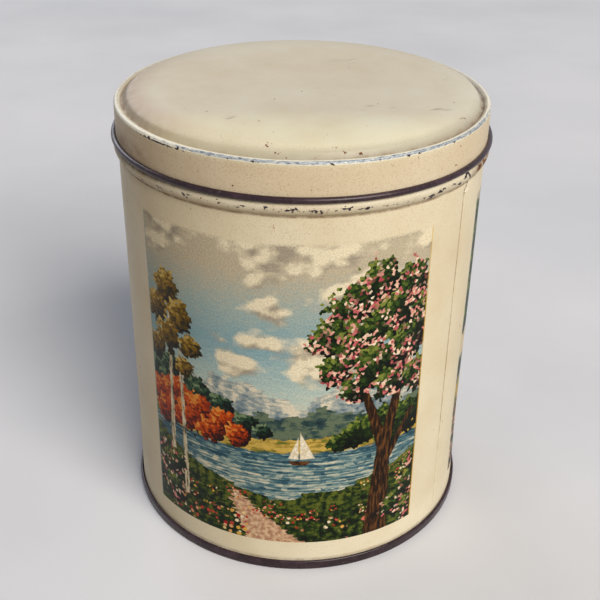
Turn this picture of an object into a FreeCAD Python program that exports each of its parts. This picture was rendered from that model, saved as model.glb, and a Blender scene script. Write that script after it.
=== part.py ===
import FreeCAD, Part
import math
import os
from FreeCAD import Vector

# Round tinplate canister with a slip lid, in millimetres
# The origin is the centre of the foot, +Z is up and the front faces -Y

# Sheet and fits
sheet = 0.30              # gauge of the tinplate
fold_gap = 0.06           # air between two folded layers
lid_gap = 0.20            # radial slip clearance of the lid over the wall
seat_gap = 0.25           # air between the lid's curl and the stop bead
head_gap = 0.60           # air between the mouth and the inside of the lid

# Wall
wall_radius = 55.0        # outside
bead_height = 124.4       # middle of the stop bead above the foot
bead_half = 2.25          # half of the bead's height
bead_proud = 1.3          # how far the bead stands out
bead_fillet = 0.5         # bend radius where the bead leaves the wall
mouth_curl = 0.85         # bend radius of the curl at the mouth

# Side seam
seam_angle = 56.0         # from the front towards +X
lock_length = 3.4         # width of the interlocked folds
lock_foot = 6.0           # height where the folds begin
lap_tail = 3.2            # plain lap below the bead, where the folds end
lap_edge = 58.4           # angle of the lapped sheet's cut edge
lap_start = 51.0          # angle of the sheet's edge underneath
lap_ramp = 4.0            # angle over which the lower sheet dips under

# Base
seam_height = 3.3         # double seam, foot to top
foot_corner = 0.45        # chamfer round the outside of the foot
base_depth = 3.5          # recess of the panel above the foot

# Lid
lid_curl = 0.75           # bend radius of the curled lower edge
skirt_length = 9.2        # middle of the curl to the ridge's bend
ridge_bend = 0.90
ridge_flank = 130.0       # angle round the ridge's bend where its inner flank begins
groove_depth = 0.9        # groove below the ridge
groove_width = 1.35       # middle of the ridge to the groove
panel_rise = 2.0          # shoulder of the panel above the ridge
panel_shoulder = 48.9     # radius where the panel falls to the groove
crown_radius = 36.0       # flat middle of the panel
crown_rise = 1.5          # middle of the panel above its shoulder

# Chords that stand for the round bends
bend_chords = 2
roll_chords = 4

# Middle lines that the pieces share
half = sheet / 2
layer = sheet + fold_gap
wall_middle = wall_radius - half
skirt_middle = wall_radius + lid_gap + half


def on_arc(centre, radius, first, last, steps):
    # Points along an arc in chords, with angles in degrees from the first axis
    points = []
    for index in range(steps + 1):
        angle = math.radians(first + (last - first) * index / steps)
        points.append((centre[0] + radius * math.cos(angle), centre[1] + radius * math.sin(angle)))
    return points


def sheet_outline(middle, roll=()):
    # Outline of a sheet whose middle follows the given points, with mitred bends and perhaps a rolled end
    normals = []
    for (u0, v0), (u1, v1) in zip(middle, middle[1:]):
        length = math.hypot(u1 - u0, v1 - v0)
        normals.append(((v0 - v1) / length, (u1 - u0) / length))
    before = [normals[0]] + normals
    after = normals + [normals[-1]]
    left = []
    right = []
    for (u, v), (a0, b0), (a1, b1) in zip(middle, before, after):
        reach = half / (1 + a0 * a1 + b0 * b1)
        left.append((u + (a0 + a1) * reach, v + (b0 + b1) * reach))
        right.append((u - (a0 + a1) * reach, v - (b0 + b1) * reach))
    return left + list(roll) + right[::-1]


def closed_wire(vectors):
    return Part.makePolygon(vectors + vectors[:1])


def section_wire(outline, angle=90.0):
    # A radial section standing at an angle from the front
    turn = math.radians(angle - 90.0)
    return closed_wire([Vector(r * math.cos(turn), r * math.sin(turn), z) for r, z in outline])


def spun(outline, first=90.0, sweep=360.0):
    return Part.Face(section_wire(outline, first)).revolve(Vector(0, 0, 0), Vector(0, 0, 1), sweep)


def ring_point(radius, turn):
    # A place where the folds begin, with the turn in radians from +X
    return Vector(radius * math.cos(turn), radius * math.sin(turn), lock_foot)


def round_the_wall(along, inward):
    # A place in the side seam: how far along the wall from the seam line, and how deep in from its middle
    turn = math.radians(seam_angle - 90.0) + along / wall_middle
    return ring_point(wall_middle - inward, turn)


def seam_fold(middle):
    face = Part.Face(closed_wire([round_the_wall(s, n) for s, n in sheet_outline(middle)]))
    return face.extrude(Vector(0, 0, lock_top - lock_foot))


def one_solid(shapes):
    # Joins touching shapes into one clean solid
    joined = shapes[0].fuse(shapes[1:]).removeSplitter()
    if len(joined.Solids) != 1 or not joined.isValid():
        raise ValueError("pieces did not join into one valid solid")
    return joined.Solids[0]


# Double seam at the foot, which the wall and the base share
hook_middle = wall_middle + 2 * layer
cover_middle = wall_middle + layer
rim_middle = wall_middle + 3 * layer
chuck_middle = wall_middle - layer
foot_middle = half
turn_middle = foot_middle + layer
rim_top = seam_height - half
turn_corner = foot_corner - (2 - math.sqrt(2)) * layer

# Stop bead, from its height and how far it stands out
bead_angle = 2 * math.degrees(math.atan2(bead_proud, bead_half))
bead_bend = bead_half / math.sin(math.radians(bead_angle)) - bead_fillet
bead_centre = (wall_middle + bead_proud - bead_bend, bead_height)
lock_top = bead_height - bead_half - lap_tail

# The lid's curl rests over the bead, and everything else of the lid is measured up from it
curl_across = skirt_middle + lid_curl
curl_drop = bead_bend + half + lid_curl + half + seat_gap
curl_height = bead_height + math.sqrt(curl_drop ** 2 - (curl_across - bead_centre[0]) ** 2)
ridge_centre = (skirt_middle - ridge_bend, curl_height + skirt_length)
ridge_height = ridge_centre[1] + ridge_bend
groove_radius = ridge_centre[0] - groove_width
groove_height = ridge_height - groove_depth
mouth_height = groove_height - half - head_gap


# Wall
wall_hook = sheet_outline([
    (hook_middle, rim_top - layer),
    (hook_middle, turn_middle + turn_corner),
    (hook_middle - turn_corner, turn_middle),
    (wall_middle, turn_middle),
    (wall_middle, lock_foot),
])
mouth_roll = mouth_curl + half
mouth_join = math.degrees(math.acos((mouth_curl - half) / mouth_roll))
mouth_centre = mouth_height - mouth_roll
bead_chord = 0.7 * bead_angle


def wall_top(inset=0.0):
    # Bead, neck and rolled mouth, moved in by a gauge where the sheet laps under itself
    wall = wall_middle - inset
    middle = [(wall, lock_top)]
    middle += [(wall, bead_height - bead_half)]
    middle += on_arc((bead_centre[0] - inset, bead_height), bead_bend, -bead_chord, bead_chord, bend_chords)
    middle += [(wall, bead_height + bead_half)]
    middle += [(wall, mouth_centre - mouth_roll * math.sin(math.radians(mouth_join)))]
    roll = on_arc((wall - mouth_curl, mouth_centre), mouth_roll, -mouth_join, -360.0, roll_chords)
    return sheet_outline(middle, roll[1:])


ring_from = 0.3           # straight length that a fold adds to the ring
fold_out = 2 * layer + 3 * fold_gap + half
ring_first = math.radians(seam_angle - 90.0) + (fold_out + ring_from + layer) / wall_middle
ring_last = math.radians(seam_angle - 90.0) - ring_from / wall_middle + 2 * math.pi


def ring_arc(radius):
    turns = [ring_first, (ring_first + ring_last) / 2, ring_last]
    return Part.Arc(*[ring_point(radius, turn) for turn in turns]).toShape()


inner_radius = wall_radius - sheet
outer_arc = ring_arc(wall_radius)
inner_arc = ring_arc(inner_radius)
ends = [
    Part.makeLine(ring_point(inner_radius, turn), ring_point(wall_radius, turn))
    for turn in (ring_first, ring_last)
]
ring_face = Part.Face(Part.Wire(Part.__sortEdges__([outer_arc, ends[1], inner_arc, ends[0]])))
ring = ring_face.extrude(Vector(0, 0, lock_top - lock_foot))

# The sheet's two edges fold back and hook into each other inside the wall
outer_fold = seam_fold([
    (-ring_from, 0),
    (0, 0),
    (layer, layer),
    (0, 2 * layer),
    (-lock_length, 2 * layer),
])
far_turn = -lock_length - fold_gap
inner_fold = seam_fold([
    (fold_out + layer + ring_from, 0),
    (fold_out + layer, 0),
    (fold_out, layer),
    (fold_out, 2 * layer),
    (fold_out - layer, 3 * layer),
    (far_turn, 3 * layer),
    (far_turn - layer, 2 * layer),
    (far_turn, layer),
    (-1.5 * fold_gap, layer),
])

lapped = spun(wall_top(), lap_edge + lap_ramp, 360.0 - lap_ramp)
tucked = spun(wall_top(sheet), lap_start, lap_edge - lap_start)
ramp_ends = [section_wire(wall_top(sheet), lap_edge), section_wire(wall_top(), lap_edge + lap_ramp)]
ramp = Part.makeLoft(ramp_ends, True, True)
body_wall = one_solid([ring, outer_fold, inner_fold, spun(wall_hook), lapped, tucked, ramp])

# Base: recessed panel, countersunk wall, foot and the cover that folds round the wall's hook
panel_height = base_depth + half
base_end = spun(sheet_outline([
    (0, panel_height),
    (chuck_middle, panel_height),
    (chuck_middle, foot_middle),
    (rim_middle - foot_corner, foot_middle),
    (rim_middle, foot_middle + foot_corner),
    (rim_middle, rim_top),
    (cover_middle, rim_top),
    (cover_middle, turn_middle + layer),
]))

# Lid: crowned panel, groove, ridge, skirt and the lower edge rolled outwards
lid_roll = lid_curl + half
lid_join = 180.0 - math.degrees(math.acos((lid_curl - half) / lid_roll))
lid_middle = [
    (0, ridge_height + panel_rise + crown_rise),
    (crown_radius, ridge_height + panel_rise + crown_rise),
    (panel_shoulder, ridge_height + panel_rise),
    (groove_radius, groove_height),
]
lid_middle += on_arc(ridge_centre, ridge_bend, ridge_flank, 0.0, bend_chords)
lid_middle += [(skirt_middle, curl_height + lid_roll * math.sin(math.radians(lid_join)))]
lid_edge = on_arc((curl_across, curl_height), lid_roll, lid_join, -180.0, roll_chords)
lid = spun(sheet_outline(lid_middle, lid_edge[1:]))

os.makedirs("parts", exist_ok=True)
for name, piece in (("body_wall", body_wall), ("base_end", base_end), ("lid", lid)):
    solid = piece.Solids[0]
    if not solid.isValid():
        raise ValueError(name + " is not a valid solid")
    solid.exportStep("parts/" + name + ".step")
    box = solid.BoundBox
    print(name, "%.2f to %.2f high, %.2f wide" % (box.ZMin, box.ZMax, box.XLength))
for name, piece in (("lid", lid), ("base_end", base_end)):
    print(name, "to the wall: %.3f" % piece.distToShape(body_wall)[0])
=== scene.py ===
import math
from functools import partial

import bpy
import numpy as np
from mathutils import Matrix, Vector


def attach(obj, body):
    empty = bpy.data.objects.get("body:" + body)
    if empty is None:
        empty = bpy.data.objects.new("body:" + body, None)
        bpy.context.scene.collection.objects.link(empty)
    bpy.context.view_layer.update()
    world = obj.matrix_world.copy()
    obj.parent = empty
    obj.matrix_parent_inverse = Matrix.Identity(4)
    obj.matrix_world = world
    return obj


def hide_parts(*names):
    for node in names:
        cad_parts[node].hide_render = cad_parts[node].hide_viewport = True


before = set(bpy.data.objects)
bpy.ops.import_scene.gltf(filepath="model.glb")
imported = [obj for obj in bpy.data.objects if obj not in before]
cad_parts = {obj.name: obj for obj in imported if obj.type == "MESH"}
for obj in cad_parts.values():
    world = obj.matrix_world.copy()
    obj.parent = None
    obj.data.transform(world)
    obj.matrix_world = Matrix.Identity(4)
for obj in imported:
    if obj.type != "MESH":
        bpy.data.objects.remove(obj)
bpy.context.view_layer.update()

scene = bpy.context.scene

# Lengths are in mm; angles are in degrees from the front, towards the right
mm = 0.001
sheetGauge = 0.30
girthRadius = 55.0  # arc lengths round the tin are measured on the wall
perDegree = 0.96  # length round the wall for a degree
columnStep = 1.2  # between the columns of a spun sheet
print("frame loaded:", ", ".join(sorted(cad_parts)))


def toLinear(code):  # sRGB hex to the linear values that sockets take
    parts = [int(code[i:i + 2], 16) / 255 for i in (1, 3, 5)]
    return tuple(p / 12.92 if p <= 0.04045 else ((p + 0.055) / 1.055) ** 2.4 for p in parts) + (1.0,)


def ramp(places, codes):  # the stops of a colour ramp: rising places and their hex colours
    return list(zip(places, codes.split()))


def addNode(tree, kind, *links, out=None, stops=None, **named):
    # one node; its mode follows a dot, links fill its sockets in order or by name, other names are settings;
    # a setting that opens a socket is given before it
    kind, _, mode = kind.partition(".")
    node = tree.nodes.new(kind if kind.startswith("Node") else "ShaderNode" + kind)
    if mode:
        setattr(node, "data_type" if kind == "Mix" else "operation", mode)
    joins = []
    for name, value in named.items():
        if name in node.inputs:
            joins.append((node.inputs[name], value))
        else:
            setattr(node, name, value)
    joins += zip([socket for socket in node.inputs if socket.enabled], links)
    for socket, value in joins:
        if isinstance(value, bpy.types.NodeSocket):
            tree.links.new(value, socket)
        else:
            socket.default_value = value
    if stops:
        elements = node.color_ramp.elements
        elements.remove(elements[1])
        for place, code in stops[1:]:
            elements.new(place).color = toLinear(code)
        elements[0].position, elements[0].color = stops[0][0], toLinear(stops[0][1])
    if out == "all":
        return node.outputs
    if out:
        return node.outputs[out]
    return next((socket for socket in node.outputs if socket.enabled), None)


def addObject(name, data):
    item = bpy.data.objects.new(name, data)
    scene.collection.objects.link(item)
    return item


def startMaterial(name):
    material = bpy.data.materials.new(name)
    material.use_nodes = True
    material.node_tree.nodes.clear()
    return material, partial(addNode, material.node_tree)


def startGroup(name, takes, gives):  # a node group; its sockets are numbers unless a kind follows a colon
    group = bpy.data.node_groups.new(name, "ShaderNodeTree")
    for side, words in (("INPUT", takes), ("OUTPUT", gives)):
        for word in words.split():
            socket, _, kind = word.partition(":")
            group.interface.new_socket(name=socket, in_out=side, socket_type="NodeSocket" + (kind or "Float"))
    add = partial(addNode, group)
    return group, add, add("NodeGroupInput", out="all")


def placeInMm(add):  # a point's place on the part, in mm
    return add("VectorMath.SCALE", add("TexCoord", out="Object"), 1 / mm)


def lay(add, under, inside, tone, inks):  # the colours of one ramp over what is there
    return add("Mix.RGBA", inside, under, add("ValToRGB", tone, stops=inks))


def coated(add, colour, matt, height, relief, shine, metal=0.0):  # a shader; relief is strength and mm deep
    bump = add("Bump", Strength=relief[0], Distance=relief[1] * mm, Height=height)
    named = {"Base Color": colour, "Specular IOR Level": shine}
    return add("BsdfPrincipled", Metallic=metal, Roughness=matt, Normal=bump, **named)


def arcPoints(centre, radius, first, last, steps):  # points of a bend, angles in degrees from the radius
    turns = np.radians(np.linspace(first, last, steps + 1))
    return [(centre[0] + radius * math.cos(t), centre[1] + radius * math.sin(t)) for t in turns]


def lineTo(points, end, steps):  # adds evenly spaced points up to an end
    start = np.array(points[-1])
    for share in np.linspace(0, 1, steps + 1)[1:]:
        points.append(tuple(start + (np.array(end) - start) * share))


def hump(value, centre, width):  # 1 at the centre, falling smoothly to 0 a width away
    near = np.clip(1 - np.abs(value - centre) / width, 0, 1)
    return near * near * (3 - 2 * near)


def between(value, start, end):  # 0 at the start, 1 at the end
    return np.clip((value - start) / (end - start), 0, 1)


def turnGap(aim, angle):  # degrees between two directions
    return (aim - angle + 180.0) % 360.0 - 180.0


def towards(aim, angle, half):  # 1 in a direction, falling to 0 a half width in degrees away
    return hump(turnGap(aim, angle), 0, half)


def spotted(place, aim, spots, degreeLength):  # round spots: angle, place, size
    marks = [hump(np.hypot(place - at, turnGap(aim, a) * degreeLength), 0, size) for a, at, size in spots]
    return np.max(marks, axis=0)


def tinted(layers):  # each layer takes a share of its drop in red, green and blue
    tint = 1.0
    for share, drop in layers:
        tint = tint * (1 - share[:, None] * np.array(drop))
    return tint


def sheetSides(middle, gauge):  # the two faces of a bent sheet, left and right of its middle line
    middle = np.array(middle)
    runs = np.diff(middle, axis=0)
    runs /= np.linalg.norm(runs, axis=1)[:, None]
    normals = np.stack([-runs[:, 1], runs[:, 0]], axis=1)
    before = np.vstack([normals[:1], normals])
    after = np.vstack([normals, normals[-1:]])
    reach = gauge / 2 / (1 + np.sum(before * after, axis=1))
    step = (before + after) * reach[:, None]
    return middle + step, middle - step


def spinSheet(name, middle, angles, materials, dent=None, wear=None, zones=()):
    # turns a bent sheet round the axis; materials are for its left face, its right face, its cut edges,
    # and the zones on its left face
    left, right = sheetSides(middle, sheetGauge)
    outline = np.vstack([left, right[::-1]])
    outline[np.abs(outline[:, 0]) < 1e-6, 0] = 0.0
    rowCount, columnCount = len(outline), len(angles)
    turns = np.radians(angles)[None, :]
    radius = np.repeat(outline[:, :1], columnCount, axis=1)
    height = np.repeat(outline[:, 1:], columnCount, axis=1)
    onLeft = (np.arange(rowCount) < len(left))[:, None]
    if dent:
        outward, upward = dent(onLeft, radius, height, np.array(angles)[None, :])
        radius, height = radius + outward, height + upward
    grid = np.stack([radius * np.sin(turns), -radius * np.cos(turns), height + 0 * turns], axis=-1)
    along = np.concatenate([[0], np.cumsum(np.linalg.norm(np.diff(outline, axis=0), axis=1))])
    rounds = np.append(angles, angles[0] + 360.0)
    across = np.radians(rounds) * girthRadius
    points, index = [], np.zeros((rowCount, columnCount), int)
    for i in range(rowCount):
        ring = grid[i] if outline[i, 0] > 0 else grid[i, :1]
        index[i] = len(points) + (np.arange(columnCount) if len(ring) > 1 else 0)
        points.extend((ring * mm).tolist())
    faces, wraps, kinds = [], [], []
    for i in range(rowCount):
        k = (i + 1) % rowCount
        kind = 0 if i < len(left) - 1 else 1 if len(left) <= i < rowCount - 1 else 2
        low, high = along[i], along[i] + np.linalg.norm(outline[k] - outline[i])
        level = (outline[i, 1] + outline[k, 1]) / 2
        for j in range(columnCount):
            n = (j + 1) % columnCount
            corners = [(index[i, j], across[j], low), (index[k, j], across[j], high)]
            corners += [(index[k, n], across[j + 1], high), (index[i, n], across[j + 1], low)]
            kept = [c for m, c in enumerate(corners) if c[0] != corners[m - 1][0]]
            if len(kept) > 2:
                faces.append([int(c[0]) for c in kept])
                wraps.extend([(c[1], c[2]) for c in kept])
                turn = (rounds[j] + rounds[j + 1]) / 2
                inZone = [
                    z for z, (start, end, foot, top) in enumerate(zones)
                    if start < turn < end and foot < level < top
                ]
                kinds.append(3 + inZone[0] if inZone and kind == 0 else kind)
    mesh = bpy.data.meshes.new(name)
    mesh.from_pydata(points, [], faces)
    mesh.uv_layers.new(name="wrap").data.foreach_set("uv", np.array(wraps).ravel())  # mm round and along
    mesh.polygons.foreach_set("material_index", kinds)
    mesh.polygons.foreach_set("use_smooth", [True] * len(faces))
    mesh.set_sharp_from_angle(angle=math.radians(50))
    for material in materials:
        mesh.materials.append(material)
    if wear:
        place = np.array(points) / mm
        spread = np.hypot(place[:, 0], place[:, 1])
        aim = np.degrees(np.arctan2(place[:, 0], -place[:, 1]))
        marks, tint = wear(spread, place[:, 2], aim)
        for mark, values in marks.items():
            mesh.attributes.new(mark, "FLOAT", "POINT").data.foreach_set("value", values.astype(np.float32))
        shades = np.hstack([tint, np.ones((len(points), 1))]).astype(np.float32)
        mesh.attributes.new("tint", "FLOAT_COLOR", "POINT").data.foreach_set("color", shades.ravel())
    print(name, len(faces), "faces")
    return addObject(name, mesh)


evenAngles = list(np.arange(-180.0, 180.0, columnStep))

# Camera at the photograph's angle
cameraSet = {
    "place": (2.555, -290.542, 231.984),  # from the centre of the foot
    "down": 29.715,  # below level
    "aside": -0.464,
    "roll": 0.852,
    "lens": 60.504,
    "sensor": 36.0,
}
down, aside, roll = (math.radians(cameraSet[k]) for k in ("down", "aside", "roll"))
camera = addObject("camera", bpy.data.cameras.new("camera"))
turned = Matrix.Rotation(-aside, 4, "Z") @ Matrix.Rotation(math.pi / 2 - down, 4, "X")
turned = turned @ Matrix.Rotation(roll, 4, "Z")
camera.matrix_world = Matrix.Translation(Vector(cameraSet["place"]) * mm) @ turned
camera.data.lens = cameraSet["lens"]
camera.data.sensor_width = cameraSet["sensor"]
camera.data.clip_start = 0.01
scene.camera = camera
print("camera set")

# Cream enamel, stoved on tinplate: yellowed, lightly mottled, a dull gloss, worn to primer and tin at edges
enamel = {
    "tones": ramp((0.30, 0.47, 0.60, 0.75), "#DDD2B3 #E3DABE #E7E0C6 #EBE5CF"),
    "mottle": 26.0,  # across a patch, as are the other sizes here
    "speckle": ("#A47A54", 0.38),  # fine brown grain, drawn as coarse as the render can show
    # brown of dirt, also used as the colour of painted shade
    "dirtAndShadeColour": "#6E4A2C",
    "smudge": 3.4,
    "scratch": ("#80766A", -28, 9.0, 0.7),  # colour, lie, length and width
    "scuff": (2.2, 0.7),  # length round the tin and along the sheet
    "primer": "#EDEADC",
    "tarnish": (1.2, 0.5),
    "tin": ramp((0.32, 0.40, 0.50, 0.64), "#444B5E #818B99 #A0A9B0 #C3C8C7"),
    "flaking": (1.1, 0.7),
    "chip": ramp((0.40, 0.60), "#1B1620 #3A3038"),
    "rust": ramp((0.35, 0.60), "#4A2818 #8A5434"),
    "grit": 0.8,  # change of tone inside chips and rust
    "pinpricks": 3.6,
    "blots": 1.0,
    "peel": 2.4,
    "gloss": (0.37, 0.50),  # roughness, at its smoothest and dullest
    "shine": 0.30,
    "relief": (0.25, 0.06),
}
enamelCoat, add, _ = startGroup("enamel and its wear", "", "colour:Color metal matt height")
rub, knock, grime, rust, seam, scratch, speckle = (
    add("Attribute", out="Fac", attribute_name=name)
    for name in ("rub", "knock", "grime", "rust", "seam", "scratch", "speckle")
)
spot = placeInMm(add)
mottle = add("TexNoise", spot, 1 / enamel["mottle"], Detail=5.0, Roughness=0.6)
colour = add("ValToRGB", mottle, stops=enamel["tones"])
# the tint carries painted shade, painted light and painted reflection as well as the pieces' own tone
tint = add("Attribute", attribute_name="tint")
colour = add("Mix.RGBA", 1.0, colour, tint, blend_type="MULTIPLY")
brown, grainSize = enamel["speckle"]
grain = add("TexNoise", spot, 1 / grainSize, Detail=2.0)
grain = add("MapRange", grain, 0.50, 0.74, 0.0, 0.55)
colour = add("Mix.RGBA", add("Math.MULTIPLY", grain, speckle), colour, toLinear(brown))

# dirt that gathers in the folds, in smudges; the same mark also paints shade: a line under the bead, a band
# under the lid's curl on the left, a line above the foot, a shadow on the skirt above the lid's curl and a
# shade over the lid's left
smudge = add("TexNoise", spot, 1 / enamel["smudge"], Detail=5.0, Roughness=0.65)
patchy = add("MapRange", smudge, 0.32, 0.62, 0.25, 1.0)
dirtAndShade = add("Math.MULTIPLY", grime, patchy, use_clamp=True)
colour = add("Mix.RGBA", dirtAndShade, colour, toLinear(enamel["dirtAndShadeColour"]))

# scratches in short bundles
scratchTone, lie, length, width = enamel["scratch"]
lines = add("VectorRotate", Vector=spot, Angle=math.radians(lie), rotation_type="Z_AXIS")
lines = add("VectorMath.MULTIPLY", lines, (1 / length, 1 / width, 1 / length))
lines = add("TexNoise", lines, 1.0, Detail=2.0)
lines = add("MapRange", lines, 0.57, 0.65, 0.0, 0.75)
colour = add("Mix.RGBA", add("Math.MULTIPLY", lines, scratch), colour, toLinear(scratchTone))

# rubbed edges: pale primer first, then bare tin
sheet = add("UVMap", uv_map="wrap")
streaks = {}
for name, detail, rough in (("scuff", 4.0, 0.7), ("tarnish", 3.0, 0.6), ("flaking", 3.0, 0.55)):
    run = add("VectorMath.MULTIPLY", sheet, (1 / enamel[name][0], 1 / enamel[name][1], 1))
    streaks[name] = add("TexNoise", run, 1.0, Detail=detail, Roughness=rough)
rubbed = add("Math.MULTIPLY_ADD", streaks["scuff"], 0.8, rub)
bared = add("MapRange", rubbed, 0.66, 0.86)
worn = add("MapRange", rubbed, 1.00, 1.16)
colour = add("Mix.RGBA", bared, colour, toLinear(enamel["primer"]))
colour = lay(add, colour, worn, streaks["tarnish"], enamel["tin"])

# knocks that went through to the dark steel
grit = add("TexNoise", spot, 1 / enamel["grit"], Detail=2.0)
chipped = add("Math.MULTIPLY_ADD", knock, 0.34, streaks["flaking"])
chip = add("MapRange", chipped, 0.735, 0.765)
colour = lay(add, colour, chip, grit, enamel["chip"])

# rust in pinpricks and small blots
pin = add("TexVoronoi", spot, 1 / enamel["pinpricks"], out="all")
pinned = add("Math.GREATER_THAN", add("SeparateColor", pin["Color"]), 0.86)
pricked = add("Math.MULTIPLY", add("MapRange", pin["Distance"], 0.085, 0.055), pinned)
blot = add("TexNoise", spot, 1 / enamel["blots"], Detail=3.0)
rusting = add("Math.MULTIPLY_ADD", rust, 0.2, blot)
rusty = add("Math.MAXIMUM", add("MapRange", rusting, 0.74, 0.78), pricked)
colour = lay(add, colour, rusty, grit, enamel["rust"])

# dirt in the seam's groove
stained = add("MapRange", smudge, 0.36, 0.58, 0.45, 1.0)
colour = add("Mix.RGBA", add("Math.MULTIPLY", seam, stained), colour, toLinear(enamel["dirtAndShadeColour"]))

matt = add("MapRange", smudge, 0.3, 0.7, *enamel["gloss"])
for wear, roughening in ((dirtAndShade, 0.3), (worn, 0.2), (rusty, 0.4)):
    matt = add("Math.MULTIPLY_ADD", wear, roughening, matt, use_clamp=True)
peel = add("TexNoise", spot, 1 / enamel["peel"], Detail=2.0)
height = add("Math.MULTIPLY_ADD", add("Math.MAXIMUM", worn, chip), -0.5, peel)
metal = add("Math.MULTIPLY", worn, 0.35)
add("NodeGroupOutput", colour=colour, metal=metal, matt=matt, height=height)

cream, add = startMaterial("aged enamel on tinplate")
coat = add("Group", node_tree=enamelCoat, out="all")
shader = coated(
    add, coat["colour"], coat["matt"], coat["height"], enamel["relief"], enamel["shine"], coat["metal"]
)
add("OutputMaterial", Surface=shader)

# Dark lacquer, rolled on the sheet's inside and turned out at the curls: brown-black, a wet gloss, dusty
lacquerSet = {
    "tones": ramp((0.34, 0.52, 0.72), "#22131A #301E27 #43313B"),
    "cloud": 7.0,
    "dust": ("#6E5C5A", 0.9),
    "ripple": 1.8,
    "gloss": (0.20, 0.40),
    "shine": 0.36,
    "relief": (0.35, 0.08),
}
lacquer, add = startMaterial("dark lacquer on tinplate")
spot = placeInMm(add)
cloudy = add("TexNoise", spot, 1 / lacquerSet["cloud"], Detail=5.0, Roughness=0.65)
colour = add("ValToRGB", cloudy, stops=lacquerSet["tones"])
dust, fleckSize = lacquerSet["dust"]
fleck = add("TexNoise", spot, 1 / fleckSize, Detail=3.0)
dusty = add("MapRange", fleck, 0.56, 0.80, 0.0, 0.4)
colour = add("Mix.RGBA", dusty, colour, toLinear(dust))
matt = add("MapRange", cloudy, 0.3, 0.7, *lacquerSet["gloss"])
ripple = add("TexNoise", spot, 1 / lacquerSet["ripple"], Detail=2.0)
shader = coated(add, colour, matt, ripple, lacquerSet["relief"], lacquerSet["shine"])
add("OutputMaterial", Surface=shader)
print("enamel and lacquer made")

# Pictures: landscapes printed in coloured inks over the enamel, in short strokes and dabs under thin varnish
greenLeaves = ramp((0, 0.28, 0.50, 0.72, 0.94), "#040703 #0B1507 #182A0E #38521B #7E8A3E")
autumnLeaves = ramp((0, 0.26, 0.48, 0.70, 0.92), "#1E0A05 #5E1C0A #A83A12 #CF5A1C #E29A48")
goldLeaves = ramp((0, 0.26, 0.48, 0.70, 0.92), "#171206 #43360F #6E5418 #A07F2C #D2BA6C")
pineLeaves = ramp((0, 0.28, 0.50, 0.72, 0.94), "#030605 #08120D #13271B #2C4A35 #7A906E")
blossom = ramp((0, 0.35, 0.70, 1), "#A84450 #D07A78 #EBBFA8 #F5E8D0")
meadowFlowers = ramp((0, 0.3, 0.5, 0.75, 1), "#A11C1A #C94F42 #E29C88 #DFB43A #F1E7CC")
darkBark = ramp((0.36, 0.50, 0.66), "#0B0603 #2E1A0B #6B4522")
paleBark = ramp((0.36, 0.46, 0.66), "#3A342C #C9BDA0 #EBE3CC")
farSnow = ramp((0.42, 0.58, 0.74, 0.90), "#506474 #768B96 #A9B2AE #E0DAC6")
farWood = ramp((0.42, 0.58, 0.74), "#1B2E36 #334B4B #64745F")
fields = ramp((0.40, 0.52, 0.62, 0.74), "#384C22 #687330 #A28A3A #CBAE58")
stubble = ramp((0.38, 0.50, 0.62, 0.78), "#8A6224 #B98D36 #D9B45A #EFD998")
water = ramp((0.40, 0.54, 0.66, 0.80), "#27495A #4E7480 #90A5A0 #DAD5BE")
grass = ramp((0.38, 0.52, 0.64, 0.80), "#050A04 #101B0A #223612 #5C6626")
blueSky = ramp((0, 0.22, 0.46, 0.66, 0.88), "#DCD8C0 #B4CAC6 #86ABB8 #A2B6B4 #C4BBA4")
eveningSky = ramp((0, 0.20, 0.45, 0.70, 0.92), "#E6CFA2 #D9CAAA #A9BCB8 #86A6B0 #BDB6A2")
cloudInks = ramp((0, 0.40, 0.75), "#A79F90 #D0C8B0 #EFE7CC")
sandyPath = ramp((0.40, 0.60), "#B1866B #DEBF9E")
darkWood = ramp((0.40, 0.60), "#33200F #684426")
canvas = ramp((0.40, 0.60), "#DCD1B4 #F8F2E0")
straw = ramp((0.40, 0.60), "#9A6A24 #E0B860")

# Sizes of the strokes and patterns; the finest are drawn as coarse as the render can show
brush = {
    "tremble": 1.2,
    "leaf": 0.85,
    "clumpEdge": 2.8,
    "stroke": 0.95,
    "strokeFlat": (0.5, 1.3, 1),  # wider than high
    "cloudBank": 30.0,
    "puff": (15, 10),
    "cloudLight": (-0.088, 0.22, 0),  # step towards the light, in puffs
    "spray": 5.0,
    "grain": 1.4,
    "bark": (0.9, 4.5),
    "top": 104.0,
    "halfWidth": 45.0,
}

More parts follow.
